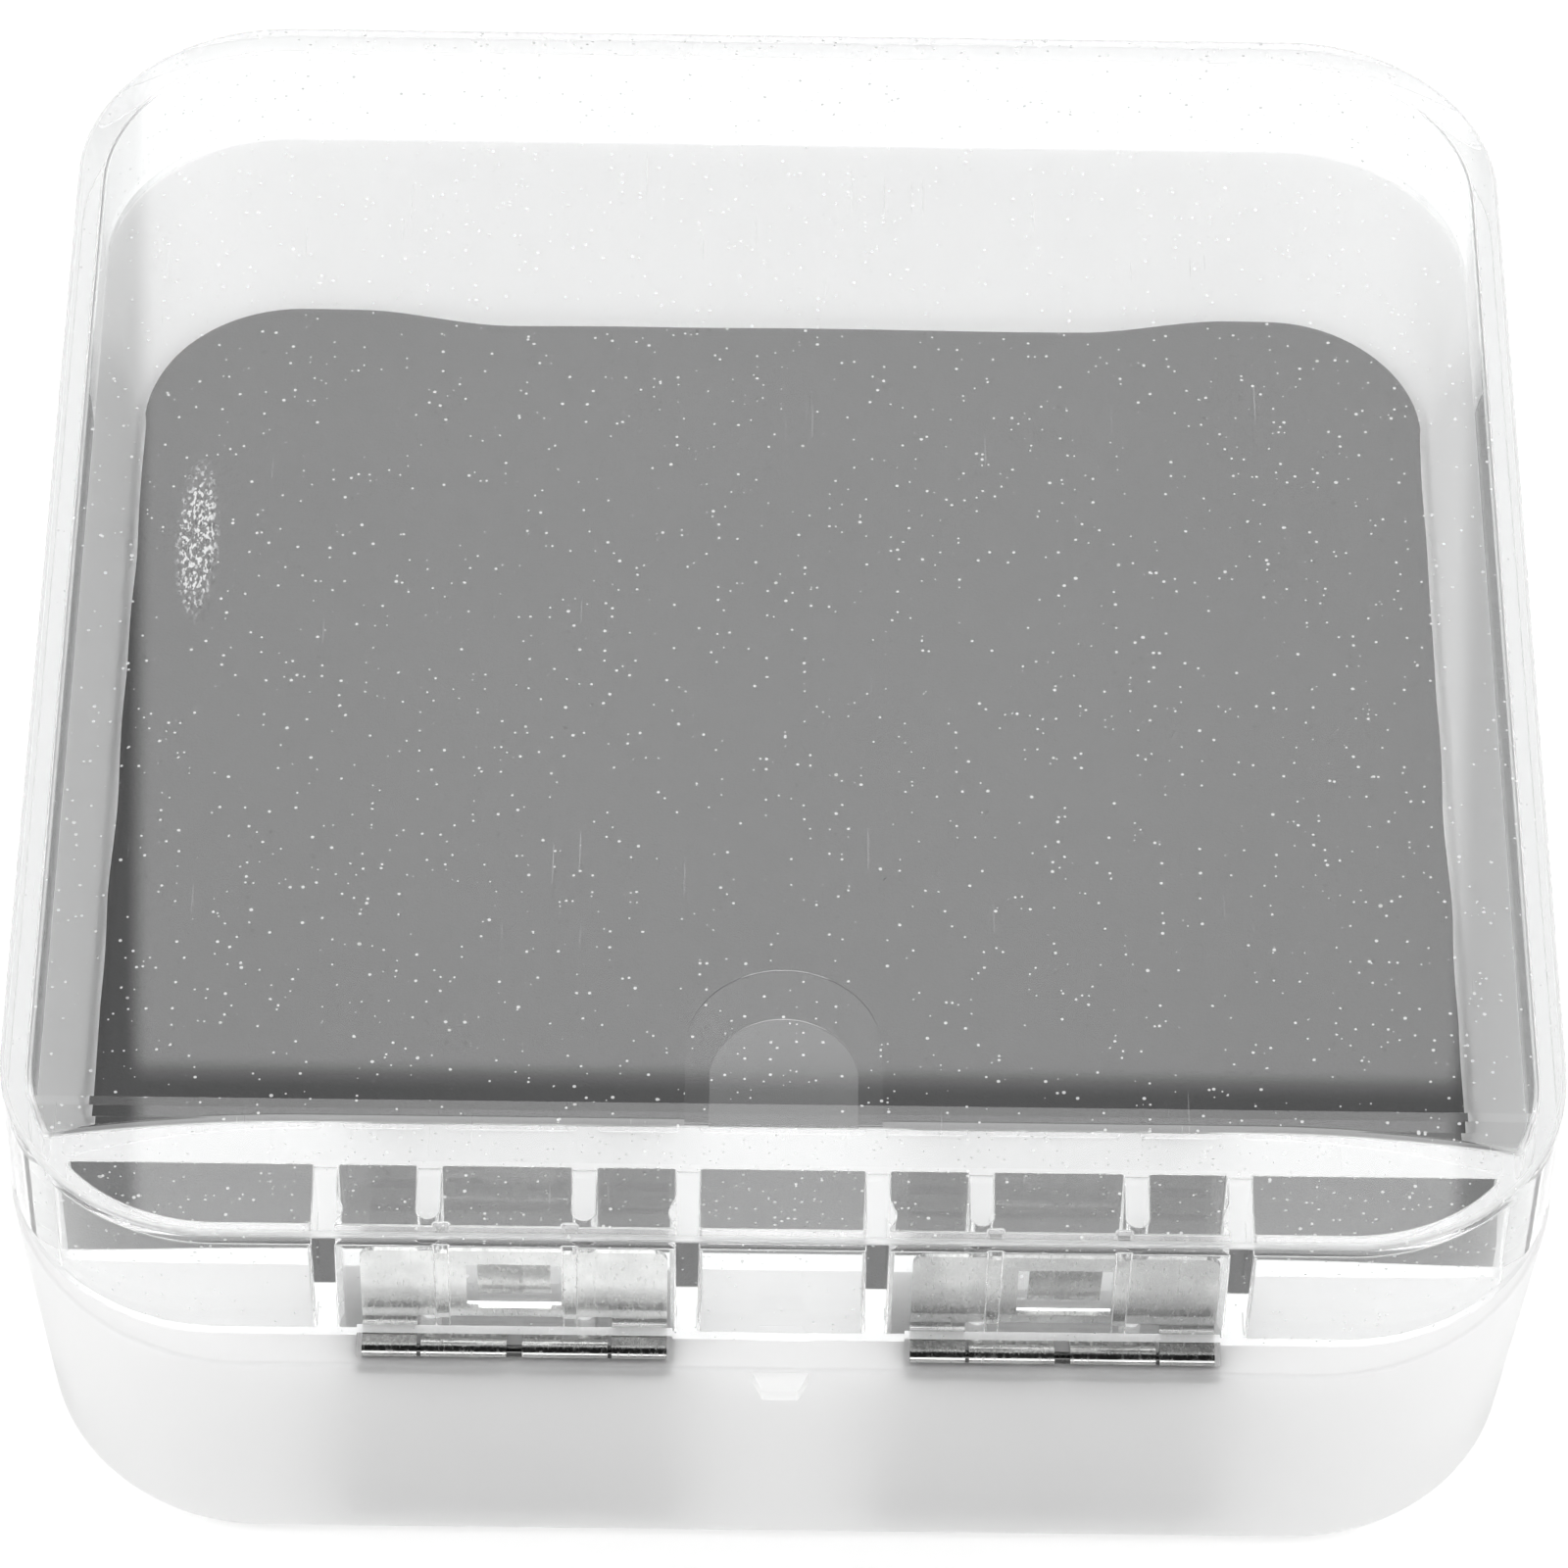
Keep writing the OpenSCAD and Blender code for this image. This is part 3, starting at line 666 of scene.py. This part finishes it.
def lid_body(materials):
    """Clear lid: a shell with its main cavity and cells, reliefs, catch bars, gate mark and thumb arches."""
    bm = bmesh.new()
    outline = plan(HALF_W, LID_NEAR, FAR_Y, CORNER_R, CORNER_R)
    outer = [(LID_BOTTOM, inset(outline, LIP)), (LID_BOTTOM + LIP, outline)]
    outer += [(z, inset(outline, d)) for z, d in fillet(TOP_Z - LID_EDGE_R, TOP_Z, LID_EDGE_R, 8)]
    centre, r = (HALF_W - CORNER_R, LID_NEAR + CORNER_R), CORNER_R - WALL_T
    cavity = main_cavity(HALF_W - WALL_T, FAR_Y - WALL_T, r, centre, r)
    cells = [cell_rings(cavity, LID_BOTTOM, PANEL_Z, PANEL_END_R)]
    small = [end_cell(-1, centre, r), end_cell(1, centre, r), centre_cell()]
    small += [hinge_pocket(-1), hinge_pocket(1)]
    cells += [cell_rings(c, LID_BOTTOM, PANEL_Z, CELL_END_R) for c in small]
    add_shell(bm, outer, cells)
    lid = object_from(bm, "lid_body", materials)

    bm = bmesh.new()
    # The grooves over the barrels get that partly worn, partly painted-highlight white surface too.
    add_grooves(bm, LID_NEAR - OVER, TUB_H - OVER, RELIEF_Z, WORN_PAINTED_HIGHLIGHT)
    combine(lid, object_from(bm, "tool", materials), "DIFFERENCE")

    bm = bmesh.new()
    add_catch_bars(bm, CATCH_HIGH)
    add_gate_mark(bm)
    combine(lid, object_from(bm, "tool", materials), "UNION")
    for slot, (radius, length, thick) in ((HAZY, OUTER_ARCH), (FROSTED, INNER_ARCH)):
        bm = bmesh.new()
        arch = plan(radius, CROSS_Y - OVER, CROSS_Y + length, 0, radius - TOUCH)
        add_prism(bm, arch, PANEL_Z - thick, PANEL_Z + SUNK, slot)
        combine(lid, object_from(bm, "tool", materials), "UNION")
    dull_edges(lid)
    shade(lid)
    return lid


def dull_edges(lid):
    """Softens the rounded edges under the panel, and makes the rim that meets the tub mostly milky white:
    partly wear, partly a painted highlight for the white line along the lid's lower edge.
    """
    for face in lid.data.polygons:
        if face.center.z > PANEL_Z - SOFT_ZONE and 0.05 < abs(face.normal.z) < 0.98:
            face.material_index = SOFT
        elif face.center.z < LID_BOTTOM + RIM_ZONE and face.normal.z < -0.5:
            face.material_index = WORN_PAINTED_HIGHLIGHT


def tub_body(materials):
    """White tub: a shell with its main cavity and hinge pockets, grooves, catch bars and gate stub."""
    near_arc = (HALF_W - LEDGE_CORNER_R, LID_NEAR - WALL_T + LEDGE_CORNER_R)

    def outside(lean):
        return plan(HALF_W - lean, TUB_NEAR + lean, FAR_Y - lean, LEDGE_CORNER_R - lean, CORNER_R - lean)

    def cavity(lean):
        return main_cavity(HALF_W - WALL_T - lean, FAR_Y - WALL_T - lean, CORNER_R - WALL_T - lean, near_arc,
                           LEDGE_CORNER_R - WALL_T - lean)

    outer = []
    for a in spread(0, math.pi / 2, 4):
        z = RIM_R * (1 - math.cos(a))
        outer.append((TUB_H - z, inset(outside(SLOPE * z), RIM_R - RIM_R * math.sin(a))))
    for z, d in fillet(FOOT_R, 0, FOOT_R, 10):
        outer.append((z, inset(outside(SLOPE * (TUB_H - z)), d)))
    main = [(TUB_H, inset(cavity(0), -TUB_LIP)), (TUB_H - TUB_LIP, cavity(SLOPE * TUB_LIP))]
    for z, d in fillet(FLOOR_T + FLOOR_R, FLOOR_T, FLOOR_R):
        main.append((z, inset(cavity(SLOPE * (TUB_H - z)), d)))
    cells = [main]
    cells += [cell_rings(hinge_pocket(s), TUB_H, FLOOR_T, POCKET_END_R) for s in (-1, 1)]
    bm = bmesh.new()
    add_shell(bm, outer, cells)
    tub = object_from(bm, "tub_body", materials)

    bm = bmesh.new()
    add_grooves(bm, GROOVE_FRONT, GROOVE_Z, TUB_H + OVER)
    combine(tub, object_from(bm, "tool", materials), "DIFFERENCE")

    bm = bmesh.new()
    add_catch_bars(bm, CATCH_LOW)
    add_gate_stub(bm)
    combine(tub, object_from(bm, "tool", materials), "UNION")
    shade(tub)
    return tub


def add_catch_bars(bm, z):
    """Bars between the backing ribs that the leaves' tongues catch on."""
    for s in (-1, 1):
        x = s * HINGE_X
        outline = rectangle(x - BACKING_RIB_X, x + BACKING_RIB_X, RIB_TIP_Y + BAR_BACK, CROSS_Y - OVER)
        add_prism(bm, outline, z, z + CATCH_H)


def add_gate_stub(bm):
    """What is left of the moulding gate: a short tapered tongue on the tub's hinge side."""
    root, tip = GATE_ROOT_W / 2, GATE_TIP_W / 2
    inside, out = TUB_NEAR + GATE_ROOT, TUB_NEAR - GATE_L
    outline = rounded([(-root, inside, 0), (-root, TUB_NEAR, 0), (-tip, out, GATE_R), (tip, out, GATE_R),
                       (root, TUB_NEAR, 0), (root, inside, 0)])
    add_prism(bm, outline, GATE_Z, GATE_Z + GATE_T)


def add_gate_mark(bm):
    """Faint trapezium on the lid's hinge wall, above the stub of the moulding gate."""
    rings = []
    for z, half in ((LID_BOTTOM, MARK_W / 2), (LID_BOTTOM + MARK_H, MARK_TOP_W / 2)):
        rings.append((z, rectangle(-half, half, LID_NEAR - MARK_T, LID_NEAR + SUNK)))
    low, high = add_stack(bm, rings)
    bm.faces.new(low)
    bm.faces.new(high)


def pad_outline(half, near_arc, near_r, far, far_r):
    """Outline of the pad before its edge wavers, with enough points along each side for that."""
    def front(x):
        return cross_face(x, PAD_GAP)

    end = meeting(front, lambda x: corner_face(x, near_arc, near_r), near_arc[0], near_arc[0] + near_r)
    start = math.acos((end - near_arc[0]) / near_r)
    side = [(half - near_r + near_r * math.cos(a), near_arc[1] - near_r * math.sin(a), 0)
            for a in spread(start, 0, 20)][1:]
    corners = [(x, front(x), 0) for x in spread(-end + PAD_TIP_CLEAR, end - PAD_TIP_CLEAR, 70)]
    corners += [(end, front(end), PAD_TIP_R)] + side
    corners += [(half, y, 0) for y in spread(side[-1][1], far - far_r, 60)[1:-1]]
    corners += [(half, far, far_r)]
    corners += [(x, far, 0) for x in spread(half - far_r, far_r - half, 60)[1:-1]]
    corners += [(-half, far, far_r)]
    corners += [(-half, y, 0) for y in spread(far - far_r, side[-1][1], 60)[1:-1]]
    corners += [(-x, y, 0) for x, y, _ in reversed(side)] + [(-end, front(end), PAD_TIP_R)]
    return rounded(corners)


def pad_body(materials):
    """Soft pad: cut by hand to the tub's floor, with a rounded upper edge and a slightly uneven top."""
    floor_inset = WALL_T + SLOPE * (TUB_H - FLOOR_T) + PAD_GAP
    near_r, far_r = LEDGE_CORNER_R - floor_inset, CORNER_R - floor_inset
    half, far = HALF_W - floor_inset, FAR_Y - floor_inset
    near_arc = (half - near_r, LID_NEAR - WALL_T + floor_inset + near_r)
    edge = []
    for p in pad_outline(half, near_arc, near_r, far, far_r):
        waver = PAD_WAVER_FAR if p.y > far - far_r else PAD_WAVER
        waver *= noise.noise(Vector((p.x, p.y, 0)) * PAD_WAVE) + 1
        hollow = 0.0
        if p.y > far - PAD_HOLLOW_BAND:
            hollow = PAD_HOLLOW * smooth_step(PAD_HOLLOW_START, PAD_HOLLOW_END, abs(p.x - PAD_HOLLOW_X))
        towards = Vector((-p.x / half, -p.y / half))
        edge.append(p + towards * waver - Vector((0, hollow)))
    top = FLOOR_T + PAD_T
    round_z = top - PAD_EDGE_R
    rings = [(FLOOR_T, inset(edge, PAD_FOOT)), (FLOOR_T + PAD_FOOT_H, edge), (round_z, inset(edge, PAD_LEAN))]
    rings += [(z, inset(edge, PAD_LEAN + d)) for z, d in fillet(round_z, top, PAD_EDGE_R, 5)[1:]]
    middle = Vector(PAD_MIDDLE)
    last = rings[-1][1]
    rings += [(top, [middle + (p - middle) * k for p in last]) for k in PAD_TOP_RINGS]
    bm = bmesh.new()
    low, high = add_stack(bm, rings)
    bm.faces.new(low)
    bm.faces.new(high)
    for v in bm.verts:
        if v.co.z > top - PAD_DIP_ZONE:
            v.co.z -= PAD_DIP * (1 + noise.noise(v.co * PAD_DIP_WAVE))
    pad = object_from(bm, "pad_body", materials)
    shade(pad, 40)
    return pad


def smooth_step(start, end, x):
    """Share from 0 at start to 1 at end, level at both."""
    t = max(0.0, min(1.0, (x - start) / (end - start)))
    return t * t * (3 - 2 * t)


# ---------------------------------------------------------------- the scene
make_camera()
make_world()
for box in SOFT_BOXES:
    soft_box(*box)

bpy.ops.mesh.primitive_plane_add(size=FLOOR_SIZE)
floor = bpy.context.object
floor.name = "floor"
floor.data.materials.append(floor_material())

lid = lid_body([clear_plastic(*surface) for surface in LID_SURFACES])
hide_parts("lid")
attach(lid, "lid")
tub = tub_body([white_plastic()])
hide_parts("base_tub")
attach(tub, "tub")
pad = pad_body([foam()])
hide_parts("foam_pad")
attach(pad, "tub")
leaf_steel = steel("rolled_steel", *LEAF_TONES)
# The pins' dark tones are painted shade, for the shaded gaps between the knuckles.
pin_steel = steel("shade_darkened_pin_steel", *PIN_SHADE_TONES)
for side in ("left", "right"):
    dress(f"{side}_lid_leaf", leaf_steel)
    dress(f"{side}_base_leaf", leaf_steel)
    dress(f"{side}_hinge_pin", pin_steel)

SCENE.view_settings.view_transform = "Standard"
SCENE.cycles.caustics_reflective = False
SCENE.cycles.max_bounces = MAX_BOUNCES
SCENE.cycles.glossy_bounces = GLOSSY_BOUNCES
SCENE.cycles.transmission_bounces = TRANSMISSION_BOUNCES
